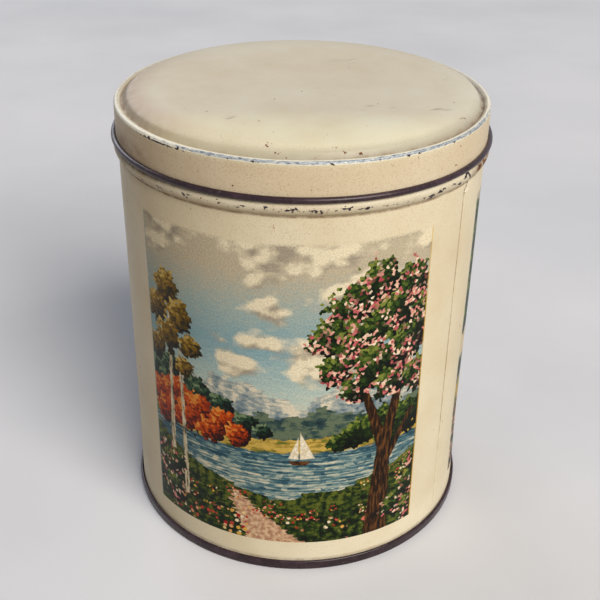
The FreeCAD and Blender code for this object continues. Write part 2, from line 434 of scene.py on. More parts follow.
# Lake with a sailing boat, birches and a blossoming tree; places are from the picture's lower left corner
lakePicture = {
    "seed": 4.0,
    "sky": blueSky,
    "cloud": (0.60, 0.0022),  # how much it takes to make cloud, and how it gathers towards the right
    "horizon": 46.0,
    "lands": [  # far to near: inks, low and high, stretch, shift, roughness, grain, lift, bowl and its place
        (farSnow, 50, 63, 21, 3.1, 5, (4, 8), 0.22),
        (farWood, 43, 53, 30, 7.7, 3, (5, 4), 0.12),
        (fields, 37, 44, 38, 1.4, 1, (9, 2.2), 0.10),
        (water, 34.5, 35.5, 60, 5, 1, (13, 0.8), -0.14),
        (grass, 16, 22, 34, 2.2, 2, (1.8, 2.8), 0.12, 11, 50),
    ],
    "clumps": [  # inks, then each clump's middle and radius
        (pineLeaves, [(2, 57, 5), (2, 50, 6), (9, 55, 4.5), (9, 49, 5), (19, 52, 4), (20, 48, 5), (28, 48, 4),
            (36, 44, 3.5), (41, 42, 2.5)]),
        (autumnLeaves, [(3, 43, 6), (11, 46, 6), (20, 44, 5.5), (28, 42, 5), (6, 38, 5), (15, 39, 5.5),
            (24, 38, 4.5), (33, 39, 4)]),
        (greenLeaves, [(70, 41, 5), (77, 43, 6), (85, 42, 6.5), (64, 38, 3.5), (80, 37, 5)]),
    ],
    "shapes": [  # inks and corners
        (darkWood, [(48.6, 32.0), (55.6, 32.0), (54.0, 30.4), (50.0, 30.4)]),
        (canvas, [(52.2, 32.6), (56.6, 33.0), (52.2, 42.4)]),
        (canvas, [(48.8, 33.0), (51.7, 32.6), (51.7, 40.6)]),
    ],
    "path": (40, 9, 11, 2.6, 9.0, 21),  # place, swing, length of a bend, phase, half width at the foot, top
    "flowers": [(1.3, 9, 28, 0.53, 7), (2.1, -1, 10, 0.51, 9)],  # cell, low, high, bare share, size of a bed
    "trees": [  # bark, limbs with their ends and half widths, inks, clumps, and how few of the leaves bloom
        (darkBark, [(77, 2, 4.2, 78.5, 34, 2.3), (78.5, 33, 2.2, 70, 58, 1.0), (78.5, 34, 2.2, 84, 62, 1.1),
            (77.5, 24, 1.4, 88, 44, 0.7)],
         greenLeaves, [(84, 86, 8), (74, 90, 7), (66, 83, 7), (89, 75, 8), (79, 78, 8), (60, 74, 6),
            (69, 72, 7), (83, 67, 7), (74, 63, 7), (62, 63, 5), (89, 56, 6), (68, 56, 4.5),
            (79, 56, 5)], 0.60),
        (paleBark, [(8, 12, 1.2, 10, 78, 0.4), (14, 10, 1.0, 13.5, 66, 0.35)],
         goldLeaves, [(9, 82, 5), (4, 74, 5), (14, 74, 5), (9, 66, 5), (18, 65, 4), (3, 61, 4),
            (15, 57, 3.5)]),
        (darkBark, [],
         greenLeaves, [(2, 22, 6), (9, 19, 5), (2, 13, 6), (8, 8, 5), (89, 15, 5), (84, 8, 5), (91, 24, 4),
            (90, 4, 5)], 0.74),
    ],
}

# Harvest field with sheaves, poplars and an old oak
harvestPicture = {
    "seed": 9.0,
    "sky": eveningSky,
    "cloud": (0.64, -0.0018),
    "horizon": 44.0,
    "lands": [
        (farSnow, 46, 55, 27, 12.4, 4, (5, 7), 0.16),
        (farWood, 41, 48, 33, 4.6, 2, (8, 3), 0.10),
        (fields, 34, 42, 42, 8.3, 1, (11, 2), 0.10),
        (stubble, 26, 31, 52, 2.9, 1, (7, 1.0), 0.06),
        (grass, 8, 13, 30, 6.1, 2, (1.8, 2.8), 0.12, 9, 38),
    ],
    "clumps": [
        (pineLeaves, [(60, 46, 2.6), (60, 50, 2.2), (60, 54, 1.8), (66, 47, 2.8), (66, 52, 2.4),
            (66, 57, 1.9), (72, 46, 2.6), (72, 51, 2.2), (72, 55, 1.7), (80, 42, 4), (87, 43, 5)]),
        (autumnLeaves, [(36, 39, 3.5), (42, 40, 4), (48, 38, 3.2), (53, 39, 3)]),
    ],
    "shapes": [
        (straw, [(44, 22), (50, 22), (47.2, 31)]),
        (straw, [(55, 24), (60, 24), (57.6, 31.5)]),
        (straw, [(66, 19), (73.5, 19), (70, 30)]),
        (straw, [(80, 23), (86, 23), (83.2, 32)]),
    ],
    "path": (58, -8, 10, 0.6, 7.5, 14),
    "flowers": [(1.3, 8, 30, 0.47, 6), (2.1, -1, 9, 0.46, 8)],
    "trees": [
        (darkBark, [(17, 4, 4.6, 18, 38, 2.6), (18, 36, 2.2, 8, 60, 1.0), (18, 38, 2.4, 27, 62, 1.0),
            (18.5, 30, 1.4, 33, 49, 0.6)],
         greenLeaves, [(2, 94, 7), (10, 88, 8), (22, 90, 8), (0, 84, 7), (2, 76, 7), (0, 67, 6), (32, 81, 7),
            (16, 80, 8), (38, 71, 6), (27, 72, 7), (7, 69, 7), (18, 66, 7), (36, 61, 5), (3, 59, 5),
            (28, 60, 5.5), (11, 58, 4.5)]),
        (darkBark, [],
         greenLeaves, [(0, 42, 4), (3, 24, 5), (88, 22, 5), (84, 14, 5), (90, 9, 6), (2, 14, 6),
            (5, 6, 5)], 0.66),
    ],
}

# River below the hills with fir trees, a plank bridge and heather
riverPicture = {
    "seed": 15.0,
    "sky": blueSky,
    "cloud": (0.58, 0.0),
    "horizon": 50.0,
    "lands": [
        (farSnow, 54, 76, 25, 9.2, 6, (4, 9), 0.24),
        (farWood, 46, 58, 24, 3.3, 4, (5, 5), 0.12),
        (fields, 38, 46, 36, 14.5, 1, (8, 2.2), 0.10),
        (water, 30, 32, 48, 1.8, 1, (11, 0.8), -0.12),
        (grass, 11, 17, 28, 10.7, 2, (1.8, 2.8), 0.12, 13, 44),
    ],
    "clumps": [
        (goldLeaves, [(50, 42, 4), (57, 43, 4.5), (64, 42, 4), (45, 39, 3)]),
        (autumnLeaves, [(72, 43, 5), (80, 45, 5.5), (88, 44, 5.5), (76, 38, 4), (85, 38, 4.5)]),
    ],
    "shapes": [
        (darkWood, [(27, 27.4), (66, 27.4), (66, 28.8), (27, 28.8)]),
        (darkWood, [(35, 20), (36.3, 20), (36.3, 31.5), (35, 31.5)]),
        (darkWood, [(46, 19), (47.3, 19), (47.3, 31.5), (46, 31.5)]),
        (darkWood, [(57, 20), (58.3, 20), (58.3, 31.5), (57, 31.5)]),
        (darkWood, [(29, 31.0), (64, 31.0), (64, 31.8), (29, 31.8)]),
    ],
    "path": (60, 10, 12, 0.9, 8.0, 18),
    "flowers": [(1.3, 9, 28, 0.48, 6), (2.1, -1, 10, 0.47, 8)],
    "trees": [
        (darkBark, [(15, 8, 2.0, 15, 84, 0.5), (28, 14, 1.5, 28, 66, 0.4)],
         pineLeaves, [(15, 86, 3), (15, 79, 5), (10, 71, 5), (20, 71, 5), (7, 61, 6), (23, 60, 6),
            (15, 64, 6), (5, 50, 6), (15, 52, 7), (25, 49, 6), (28, 66, 3), (28, 58, 4), (12, 40, 7),
            (24, 38, 6), (33, 47, 4), (33, 38, 5)]),
        (darkBark, [],
         greenLeaves, [(3, 24, 6), (11, 21, 5), (2, 13, 6), (89, 24, 6), (82, 20, 5), (90, 13, 6), (86, 6, 5),
            (6, 5, 5)], 0.58),
    ],
}

# One rolling stretch of land: whether a place is in it, how light it is, and how far below its skyline
landTakes = "spot:Vector grain:Vector x y chance pace shift rough low high bowl bowlAt lift"
landGroup, add, take = startGroup("rolling land", landTakes, "inside tone depth")
run = add("Math.MULTIPLY_ADD", take["x"], take["pace"], take["shift"])
rolling = add("TexNoise", noise_dimensions="1D", W=run, Scale=1.0, Detail=take["rough"])
crest = add("MapRange", rolling, 0.3, 0.7, take["low"], take["high"], clamp=False)
away = add("Math.SUBTRACT", take["x"], take["bowlAt"])
crest = add("Math.MULTIPLY_ADD", add("Math.MULTIPLY", away, away), take["bowl"], crest)
depth = add("Math.SUBTRACT", crest, take["y"])
inside = add("MapRange", depth, -0.1, 0.1)
grain = add("VectorMath.MULTIPLY", take["spot"], take["grain"])
grain = add("TexNoise", grain, 1.0, Detail=3.0)
tone = add("Math.MULTIPLY_ADD", take["chance"], 0.22, grain)
tone = add("Math.ADD", tone, add("MapRange", depth, 0.0, 9.0, take["lift"], 0.0))
add("NodeGroupOutput", inside=inside, tone=tone, depth=depth)

# One clump of leaves over those before it, lit from the upper left
clumpTakes = "spot:Vector centre:Vector tone cover edge chance radius"
clumpGroup, add, take = startGroup("clump of leaves", clumpTakes, "tone cover")
offset = add("VectorMath.SUBTRACT", take["spot"], take["centre"])
ragged = add("Math.MULTIPLY", take["edge"], take["radius"])
ragged = add("Math.MULTIPLY_ADD", ragged, 1.6, add("VectorMath.LENGTH", offset))
inside = add("Math.SUBTRACT", add("Math.MULTIPLY", take["radius"], 1.84), ragged)
inside = add("MapRange", inside, -0.05, 0.05)
lit = add("VectorMath.DOT_PRODUCT", offset, (-0.26, 0.36, 0))
lit = add("Math.ADD", add("Math.DIVIDE", lit, take["radius"]), take["chance"])
tone = add("Mix", inside, take["tone"], lit)
cover = add("Math.MAXIMUM", take["cover"], inside)
add("NodeGroupOutput", tone=tone, cover=cover)

# One tapered trunk or branch
limbGroup, add, take = startGroup(
    "trunk or branch", "spot:Vector foot:Vector way:Vector aim:Vector thick thin", "inside"
)
offset = add("VectorMath.SUBTRACT", take["spot"], take["foot"])
step = add("MapRange", add("VectorMath.DOT_PRODUCT", offset, take["aim"]))
gap = add("VectorMath.DISTANCE", offset, add("VectorMath.SCALE", take["way"], step))
girth = add("MapRange", step, 0.0, 1.0, take["thick"], take["thin"])
inside = add("MapRange", add("Math.SUBTRACT", girth, gap), -0.1, 0.1)
add("NodeGroupOutput", inside=inside)

# One bed of small round flowers
bedTakes = "spot:Vector shaken:Vector y depth pace patches share low high"
bedGroup, add, take = startGroup("bed of flowers", bedTakes, "inside chance")
flower = add("TexVoronoi", take["shaken"], take["pace"], voronoi_dimensions="2D", out="all")
chance = add("SeparateColor", flower["Color"], out="all")
size = add("MapRange", chance["Red"], 0.0, 1.0, 0.18, 0.42)
inside = add("MapRange", add("Math.SUBTRACT", size, flower["Distance"]), 0.0, 0.06)
patch = add("TexNoise", take["spot"], take["patches"], Detail=1.0)
patch = add("MapRange", add("Math.SUBTRACT", patch, take["share"]), 0.0, 0.03)
above = add("Math.GREATER_THAN", take["y"], take["low"])
below = add("Math.LESS_THAN", take["y"], take["high"])
inLand = add("MapRange", take["depth"], 0.8, 1.6)
for limit in (patch, above, below, inLand):
    inside = add("Math.MULTIPLY", inside, limit)
add("NodeGroupOutput", inside=inside, chance=chance["Green"])


def paintPicture(add, x, y, picture):
    # inks of one picture at a place from its lower left corner, painted from the sky forwards
    spot = add("CombineXYZ", x, y)
    apart = (200.0 * picture["seed"], 0, 0)  # each picture has its own stretch of the patterns
    paper = add("VectorMath.ADD", spot, apart)
    tremble = add("TexNoise", paper, 1 / brush["tremble"], Detail=2.0, out="Color")
    shaken = add("VectorMath.MULTIPLY_ADD", tremble, (1.0, 1.0, 0), paper)
    back = (apart[0] + 0.5, 0.5, 0)
    leaf = add("TexVoronoi", shaken, 1 / brush["leaf"], voronoi_dimensions="2D", out="all")
    leafSpot = add("VectorMath.SUBTRACT", leaf["Position"], back)
    leafChance = add("SeparateColor", leaf["Color"], out="all")
    leafTone = add("MapRange", leafChance["Red"], 0.0, 1.0, 0.14, 0.68)
    leafEdge = add("TexNoise", leaf["Position"], 1 / brush["clumpEdge"], Detail=3.0)
    flat = add("VectorMath.MULTIPLY", shaken, brush["strokeFlat"])
    stroke = add("TexVoronoi", flat, 1 / brush["stroke"], voronoi_dimensions="2D", out="all")
    strokeSpot = add("VectorMath.DIVIDE", stroke["Position"], brush["strokeFlat"])
    strokeSpot = add("VectorMath.SUBTRACT", strokeSpot, back)
    strokeX, strokeY, _ = add("SeparateXYZ", strokeSpot, out="all")
    strokeChance = add("SeparateColor", stroke["Color"], out="all")

    # sky, then heaped clouds with a lit upper edge
    share = add("MapRange", strokeY, picture["horizon"], brush["top"])
    share = add("Math.MULTIPLY_ADD", strokeChance["Red"], 0.08, share)
    colour = add("ValToRGB", share, stops=picture["sky"])
    enough, gather = picture["cloud"]
    bank = add("TexNoise", paper, 1 / brush["cloudBank"], Detail=2.0)
    bank = add("Math.MULTIPLY_ADD", x, gather, bank)
    puffSpot = add("VectorMath.MULTIPLY", shaken, (1 / brush["puff"][0], 1 / brush["puff"][1], 1))
    puff, litPuff = (
        add("TexVoronoi", feature="SMOOTH_F1", voronoi_dimensions="2D", Vector=place, Scale=1.0, Detail=3.0,
            Roughness=0.45, Smoothness=0.5)
        for place in (puffSpot, add("VectorMath.ADD", puffSpot, brush["cloudLight"]))
    )
    thick = add("Math.MULTIPLY_ADD", puff, -0.28, bank)
    cloud = add("MapRange", thick, enough - 0.20, enough - 0.12)
    lit = add("MapRange", add("Math.SUBTRACT", litPuff, puff), -0.20, 0.22)
    colour = lay(add, colour, cloud, lit, cloudInks)

    for inks, low, high, stretch, shift, rough, grain, lift, *bowl in picture["lands"]:
        bowl, bowlAt = bowl or (0.0, 0.0)
        land = add(
            "Group", node_tree=landGroup, spot=paper, x=strokeX, y=strokeY, chance=strokeChance["Green"],
            pace=1 / stretch, shift=shift, rough=rough, low=low, high=high, lift=lift,
            grain=(1 / grain[0], 1 / grain[1], 1), bowl=bowl / brush["halfWidth"] ** 2, bowlAt=bowlAt,
            out="all",
        )
        colour = lay(add, colour, land["inside"], land["tone"], inks)

    def paintLeaves(colour, inks, clumps, bloom=None):
        tone, cover = 0.5, 0.0
        for centreX, centreY, radius in clumps:
            tone, cover = add(
                "Group", node_tree=clumpGroup, tone=tone, cover=cover, spot=leafSpot, edge=leafEdge,
                chance=leafTone, centre=(centreX, centreY, 0), radius=radius, out="all",
            )
        colour = lay(add, colour, cover, tone, inks)
        if bloom:
            spray = add("TexNoise", leaf["Position"], 1 / brush["spray"], Detail=1.0)
            shown = add("Math.GREATER_THAN", leafChance["Green"], bloom)
            shown = add("Math.MULTIPLY", shown, add("MapRange", spray, 0.44, 0.52))
            shown = add("Math.MULTIPLY", shown, cover)
            colour = lay(add, colour, shown, leafChance["Blue"], blossom)
        return colour

    for clumps in picture["clumps"]:
        colour = paintLeaves(colour, *clumps)

    grain = add("TexNoise", paper, 1 / brush["grain"], Detail=3.0)
    for inks, corners in picture["shapes"]:
        middle = np.mean(corners, axis=0)
        within = 9.0
        for (x0, y0), (x1, y1) in zip(corners, corners[1:] + corners[:1]):
            normal = np.array([y0 - y1, x1 - x0]) / math.hypot(x1 - x0, y1 - y0)
            normal = normal if normal @ (middle - (x0, y0)) > 0 else -normal
            side = add("VectorMath.DOT_PRODUCT", spot, (*normal, 0))
            side = add("Math.SUBTRACT", side, float(normal @ (x0, y0)))
            within = add("Math.MINIMUM", side, within)
        colour = lay(add, colour, add("MapRange", within, -0.12, 0.12), grain, inks)

    at, swing, bendLength, phase, halfWidth, top = picture["path"]
    middle = add("Math.SINE", add("Math.MULTIPLY_ADD", y, 1 / bendLength, phase))
    middle = add("Math.MULTIPLY_ADD", middle, swing, at)
    off = add("Math.ABSOLUTE", add("Math.SUBTRACT", middle, strokeX))
    inside = add("Math.SUBTRACT", add("MapRange", y, 0.0, top, halfWidth, 0.2), off)
    inside = add("MapRange", inside, -0.2, 0.2)
    inside = add("Math.MULTIPLY", inside, add("Math.LESS_THAN", strokeY, top))
    colour = lay(add, colour, inside, grain, sandyPath)

    for cell, low, high, share, bed in picture["flowers"]:
        flowers = add(
            "Group", node_tree=bedGroup, spot=paper, shaken=shaken, y=y, depth=land["depth"], pace=1 / cell,
            patches=1 / bed, share=share, low=low, high=high, out="all",
        )
        colour = lay(add, colour, flowers["inside"], flowers["chance"], meadowFlowers)

    trembling = add("VectorMath.SUBTRACT", shaken, back)
    furrows = add("VectorMath.MULTIPLY", paper, (1 / brush["bark"][0], 1 / brush["bark"][1], 1))
    furrows = add("TexNoise", furrows, 1.0, Detail=3.0)
    for bark, limbs, *leaves in picture["trees"]:
        for x0, y0, thick, x1, y1, thin in limbs:
            way = np.array([x1 - x0, y1 - y0, 0])
            inside = add(
                "Group", node_tree=limbGroup, spot=trembling, foot=(x0, y0, 0), way=way,
                aim=way / (way @ way), thick=thick, thin=thin,
            )
            colour = lay(add, colour, inside, furrows, bark)
        colour = paintLeaves(colour, *leaves)
    return colour


# Lid: drawn cap with a cushioned panel, a groove, a ridge, a short skirt and a curl
lid = {
    "ridge": (54.45, 136.31),  # middle of the ridge's bend
    "ridgeBend": 0.9,
    "groove": (53.1, 136.31),
    "grooveBend": 0.6,
    "crown": 4.37,  # middle of the panel above the groove
    "crownReach": 53.3,
    "crownPower": 7.0,  # how late the cushion falls
    "level": 38.0,  # the panel is nearly level up to here
    "panelEdge": 51.3,  # where it turns down to the groove
    "skirt": 55.35,
    "curl": 127.11,
    "curlBend": 0.72,
    "top": 136.0,  # panel, groove and ridge are above this height
    "shoulder": 136.6,
    "panelEnd": 53.6,
    "ridgeReach": (1.5, 54.0),  # from its middle, and least distance from the axis
    "waves": [(0.05, 5, 0.6), (0.035, 13, 0.0), (0.02, 29, 1.0)],  # of the ridge: height, number round, phase
    "rustSpots": [  # angle, distance from the middle, size
        (-9.9, 50.1, 2.6), (-4.3, 52.6, 2.0), (-6.9, 51.8, 1.8), (11.0, 50.8, 2.0), (13.4, 52.6, 2.2),
        (17.5, 52.3, 2.0), (3.7, 52.7, 1.8), (60.6, 51.2, 1.8), (-100.0, 50.0, 2.5), (150.0, 51.0, 3.0),
    ],
    "panelDegree": 0.92,  # length round the panel's edge for a degree
    "skirtSpots": [  # angle, height, size
        (-17.9, 129.9, 1.3), (-12.5, 135.6, 1.3), (5.7, 135.9, 1.3), (25.0, 134.8, 1.3), (42.5, 130.8, 1.3),
        (49.1, 129.4, 1.3),
    ],
    "slits": [  # dark knocks along the ridge: angle and half width
        (-47, 4.0), (-34.6, 2.4), (-30.2, 1.6), (-19, 1.6), (-12, 3.6), (8.3, 2.2), (21.2, 1.6), (30, 1.8),
        (33.3, 1.8), (47, 2.6), (55.8, 2.2), (110, 3.0), (160, 2.5), (-120, 3.0), (-150, 2.0),
    ],
    "darkEdge": (-43, 17, 1.15),  # steel bared along the ridge's foot: angle, half width, strength
    "scratches": [  # bundles: angle, distance from the middle, size
        (42, 31, 9), (60, 43, 6), (60, 50, 3), (-30, 38.5, 2.5), (-93, 44.5, 2.5), (150, 25, 9),
    ],
    "cracks": np.random.default_rng(7).random(round(360 / columnStep) + 1),  # one draw for each column
    "crackLimit": 0.6,
}
grooveAcross, grooveHeight = lid["groove"]
lidMiddle = []
panelSteps = [np.linspace(0, lid["level"], 14), np.linspace(lid["level"], lid["panelEdge"], 26)[1:]]
for r in np.concatenate(panelSteps):
    stand = 1 - (r / lid["crownReach"]) ** lid["crownPower"]
    lidMiddle.append((r, grooveHeight + lid["crown"] * math.sqrt(stand)))
(r0, z0), (r1, z1) = lidMiddle[-2:]
turnDown = (z1 - z0) / (r1 - r0)
fallAcross = grooveAcross - r1
for share in np.linspace(0, 1, 9)[1:]:  # eases down the last step into the groove
    z = z1 + (grooveHeight - z1) * share ** 2 * (3 - 2 * share)
    z += turnDown * fallAcross * share * (1 - share) ** 2
    lidMiddle.append((r1 + fallAcross * share, z))
lidMiddle += arcPoints((grooveAcross, grooveHeight + lid["grooveBend"]), lid["grooveBend"], -90, -35, 5)[1:]
lidMiddle += arcPoints(lid["ridge"], lid["ridgeBend"], 150, 0, 16)
lineTo(lidMiddle, (lid["skirt"], lid["curl"]), 16)
lidMiddle += arcPoints((lid["skirt"] + lid["curlBend"], lid["curl"]), lid["curlBend"], 180, 490, 22)[1:]


def lidDent(onLeft, radius, height, angle):
    # a hand-worn lid: the ridge and the skirt wander a little, and the panel is not quite even
    turn = np.radians(angle)
    wander = sum(size * np.sin(number * turn + phase) for size, number, phase in lid["waves"])
    ridgeLift = hump(radius, 54.6, 1.6) * (wander - 0.08) * 0.6
    sag = between(radius, 50, 38) * between(radius, 0, 10) * (0.05 * np.sin(2 * turn + 0.4) - 0.05)
    onSkirt = (radius > 54.8) & (height < 137)
    inward = -0.05 + 0.03 * np.sin(3 * turn + 1.2)
    return inward * onSkirt, (ridgeLift + sag) * (height > lid["top"])


def lidWear(spread, z, aim):
    onTop = z > lid["top"]
    onPanel = onTop * (spread < lid["panelEnd"])
    side, fore = spread * np.sin(np.radians(aim)), spread * np.cos(np.radians(aim))
    across, up = spread - lid["ridge"][0], z - lid["ridge"][1]
    bend = np.degrees(np.arctan2(up, across))  # round the ridge, from level
    onRidge = (np.hypot(across, up) < lid["ridgeReach"][0]) & (spread > lid["ridgeReach"][1])

    # ridge rubbed to bare tin at the front and right, mostly to primer on the left, and knocked in places
    tinned = 0.50 + 0.30 * np.clip(towards(aim, 20, 85) * 2.2, 0, 1)
    band = between(bend, -2, 20) * between(bend, 92, 68)
    rub = np.maximum(band * tinned, hump(bend, 80, 42) * 0.46) * onRidge
    slits = np.max([towards(aim, *slit) for slit in lid["slits"]], axis=0)
    middle, half, strength = lid["darkEdge"]
    steel = strength * towards(aim, middle, half) * hump(bend, 4, 22)
    knock = np.maximum(slits * hump(bend, 22, 34) * 0.9, steel) * onRidge

    # dirt in the groove and at the panel's foot, most at the sides, in the ridge's cracks, and on the skirt;
    # painted shade too, as a smear over the panel's left shoulder, in the smudges on the skirt's left and as
    # a shadow on the skirt just above the curl
    sides = 0.36 + 0.45 * towards(aim, 78, 45) + 0.30 * towards(aim, -70, 50)
    groove = hump(spread, 53.0, 1.0) * sides
    ridgeBack = 0.55 * hump(spread, 53.9, 1.2) * towards(aim, 85, 28)
    foot = 0.6 * hump(spread, 52.85, 0.8) * np.clip(2 * towards(aim, 40, 50), 0, 1)
    # painted shade with dirt, darkening the panel's left shoulder
    smearAndShade = 0.36 * between(spread, 46.5, 52.5) ** 1.5 * (spread < 53.4) * towards(aim, -70, 50)
    column = np.round((aim + 180.0) / columnStep).astype(int)
    cracked = onRidge * (lid["cracks"][column] > lid["crackLimit"])
    crazed = 0.6 * cracked * hump(bend, 70, 60) * towards(aim, -90, 45)
    # painted shadow on the skirt in the crevice just above the curl
    corner = 0.2 * hump(z, 127.8, 0.55) * (z < 128.6)
    # smudges on the skirt's left: dirt, with painted shade of the shaded side
    smudge = 0.55 * hump(z, 130.2, 4.0) * (z > 127.6) * towards(aim, -62, 26)
    grime = np.maximum.reduce([groove, ridgeBack, foot, smearAndShade]) * onTop
    grime = np.maximum.reduce([grime, crazed, np.maximum(corner, smudge) * (spread > 55)])

    panelRust = spotted(spread, aim, lid["rustSpots"], lid["panelDegree"])
    rust = np.where(onTop, panelRust, spotted(z, aim, lid["skirtSpots"], perDegree))
    bundles = []
    for a, r, size in lid["scratches"]:
        turn = math.radians(a)
        bundles.append(hump(np.hypot(side - r * math.sin(turn), (fore - r * math.cos(turn)) * 1.8), 0, size))
    scratch = np.max(bundles, axis=0) * onTop
    speckle = np.where(z > lid["shoulder"], 0.10 + 0.35 * hump(spread, 51, 5), 0.8)

    # painted reflection greys the middle and back of the panel; painted shade darkens its edge, its left
    # shoulder and the back of the rim; painted light brightens its right shoulder; the skirt is browner where
    # handled, and more so on the left as painted shade
    greyReflection = between(fore, 40, 26) * np.maximum(between(spread, 57, 49), 0.75)
    # painted shade along the panel's edge where it turns down to the groove
    edge = np.interp(spread, (49.3, 50.4, 51.3, 52.1), (0.0, 0.09, 0.23, 0.40))
    edge = edge * np.clip(towards(aim, 25, 110) * 1.1, 0.35, 1)
    leftPaintedShade = hump(spread, 49.3, 6.5) * towards(aim, -70, 70)
    rightPaintedLight = between(spread, 40, 48) * towards(aim, 80, 50)
    farRimShade = between(fore, 15, -15) * between(spread, 51.5, 53)
    handledAndShaded = between(z, lid["shoulder"], lid["shoulder"] - 1.5) * (0.75 + 0.45 * towards(aim, -55, 70))
    tint = tinted([
        (greyReflection * onTop, (0.165, 0.19, 0.14)),
        (onTop, (0.03, 0.0, 0.0)),
        (edge * onPanel, (1.0, 1.0, 0.93)),
        (leftPaintedShade * onPanel, (0.20, 0.30, 0.36)),
        (rightPaintedLight * onPanel, (-0.05, -0.10, -0.14)),
        (farRimShade * onTop, (0.16, 0.14, 0.06)),
        (handledAndShaded, (0.10, 0.15, 0.16)),
    ])
    marks = {"rub": rub, "knock": knock, "grime": grime, "rust": rust, "scratch": scratch, "speckle": speckle}
    return marks, tint


lidPiece = spinSheet("lid_cap", lidMiddle, evenAngles, [cream, lacquer, lacquer], lidDent, lidWear)
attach(lidPiece, "lid")
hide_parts("lid")

# Wall: one rolled sheet with a curled mouth, a stop bead, a side seam and a hook at its foot
wall = {
    "middle": 54.85,
    "mouthCurl": 0.80,
    "mouthTop": 135.5,
    "bead": 124.4,
    "beadHalf": 2.25,
    "beadProud": 1.3,
    "beadFillet": 0.5,
    "hook": (55.57, 2.79),
    "turn": 0.87,
    "turnBend": 0.36,
    "seamAngle": 56.0,
    "seamReach": (-8.0, 14.0, 0.25),  # where columns stand close, and their step
    "grooveWidth": 1.2,
    "grooveDepth": 0.4,
    "foldWidth": 4.6,  # folded strip on the inside
    "foldMiddle": -1.4,
    "foldSlope": 0.3,
    "foldDepth": 1.05,
    "foldFoot": 6.0,
    "foldTop": 118.95,
    "lapEdge": 58.4,
    "lapRamp": 4.0,
    "lapCorner": (  # heights and angles
        (119.2, 120.2, 120.9, 121.9, 123.2, 125.0, 126.5), (56.4, 57.2, 58.1, 58.4, 57.7, 56.0, 54.6),
    ),
    # dirt round the bead and at the lap's end; painted shade with dirt as a line under the bead, a band under
    # the lid's curl on the left and a line just above the foot
    "grime": [  # height, half width, strength, and if not all round, angle and half width
        (122.0, 0.6, 0.85), (124.4, 2.4, 0.16), (124.2, 3.6, 1.6, 68, 14), (125.8, 1.8, 0.85, -54, 34),
        (3.3, 1.0, 0.5),
    ],
    "rustSpots": [  # angle, height, size
        (-6.4, 118.7, 1.8), (-1.8, 117.9, 1.8), (6.6, 118.7, 1.6), (4.5, 125.2, 1.6), (13.8, 125.3, 1.4),
        (140, 119.0, 2.4), (-95, 118.0, 2.4), (63, 125.2, 2.4), (66.5, 123.9, 2.6), (70, 125.0, 2.4),
    ],
    "knocks": [  # chips along the bead: angle, height, half width in degrees, strength
        (4, 124.2, 90, 0.48, 1.3),  # a general roughness at the front, with its own half height
        (-50.3, 123.6, 2.2, 0.85), (-42, 123.9, 3.4, 0.8), (-37, 124.1, 2.4, 0.75), (-32.2, 124.3, 3.4, 0.9),
        (-21.9, 124.6, 2.4, 0.9), (-15.9, 124.4, 3.6, 0.7), (-8.6, 124.9, 2.8, 0.9), (-2.0, 124.5, 5.0, 0.95),
        (4.5, 124.2, 4.6, 0.95), (13.1, 124.5, 3.4, 0.95), (18.3, 124.3, 3.4, 0.95), (23.5, 124.1, 3.0, 0.6),
        (32.0, 124.0, 2.6, 0.65), (36.1, 123.7, 2.2, 0.7), (39.0, 123.5, 2.6, 1.4), (38.7, 122.9, 1.8, 1.4),
        (42.6, 124.2, 3.4, 1.0), (47.4, 124.3, 2.2, 0.9), (50.8, 123.9, 2.4, 1.1), (53.4, 124.9, 2.0, 1.1),
        (55.0, 125.6, 1.6, 1.2), (63.0, 125.0, 2.6, 0.9), (74, 124.2, 4.0, 0.7), (88, 124.5, 3.4, 0.8),
        (104, 124.1, 4.6, 0.8), (121, 124.4, 3.2, 0.7), (136, 124.3, 4.0, 0.8), (158, 124.5, 3.6, 0.8),
        (176, 124.2, 4.2, 0.7), (-62, 124.2, 3.4, 0.7), (-81, 124.4, 3.8, 0.8), (-99, 124.2, 3.2, 0.7),
        (-117, 124.4, 4.4, 0.8), (-139, 124.3, 3.4, 0.8), (-160, 124.4, 3.8, 0.7),
    ],
    "lapBare": (2.2, 0.75),  # bare cut edge at the lap: strength and half width
}
printZone = {
    "low": 10.5,
    "high": 114.5,
    "starts": (307.0, 70.0, 188.5),
    "span": 95.0,
    "screen": 0.5,  # between the dots, as coarse as the render can show
    "slivers": [(0.5, 0.4, "#93AFBA"), (90.7, 90.8, "#D3AC3C")],  # plates a little out of register
    "raggedTop": (106.6, 105.4),
    "shine": 0.14,
}
wallAt = wall["middle"]
beadFoot, beadTop = wall["bead"] - wall["beadHalf"], wall["bead"] + wall["beadHalf"]
fillet = wall["beadFillet"]
beadAngle = 2 * math.degrees(math.atan2(wall["beadProud"], wall["beadHalf"]))
beadBend = wall["beadHalf"] / math.sin(math.radians(beadAngle)) - fillet
mouthCentre = (wallAt - wall["mouthCurl"], wall["mouthTop"] - wall["mouthCurl"] - sheetGauge / 2)
wallMiddle = arcPoints(mouthCentre, wall["mouthCurl"], 290, 0, 18)
lineTo(wallMiddle, (wallAt, beadTop), 5)
wallMiddle += arcPoints((wallAt + fillet, beadTop), fillet, 180, 180 + beadAngle, 4)[1:]
beadCentre = (wallAt + wall["beadProud"] - beadBend, wall["bead"])
wallMiddle += arcPoints(beadCentre, beadBend, beadAngle, -beadAngle, 14)[1:]
wallMiddle += arcPoints((wallAt + fillet, beadFoot), fillet, 180 - beadAngle, 180, 4)[1:]
for height, steps in (
    (beadFoot - 1.0, 4), (wall["foldTop"] + 0.15, 4), (wall["foldTop"] - 0.15, 2), (printZone["high"], 4),
    (printZone["low"], 26), (wall["foldFoot"], 3), (wall["turn"], 6),
):
    lineTo(wallMiddle, (wallAt, height), steps)
wallMiddle += arcPoints((wall["hook"][0] - wall["turnBend"], wall["turn"]), wall["turnBend"], 180, 360, 8)[1:]
lineTo(wallMiddle, wall["hook"], 2)


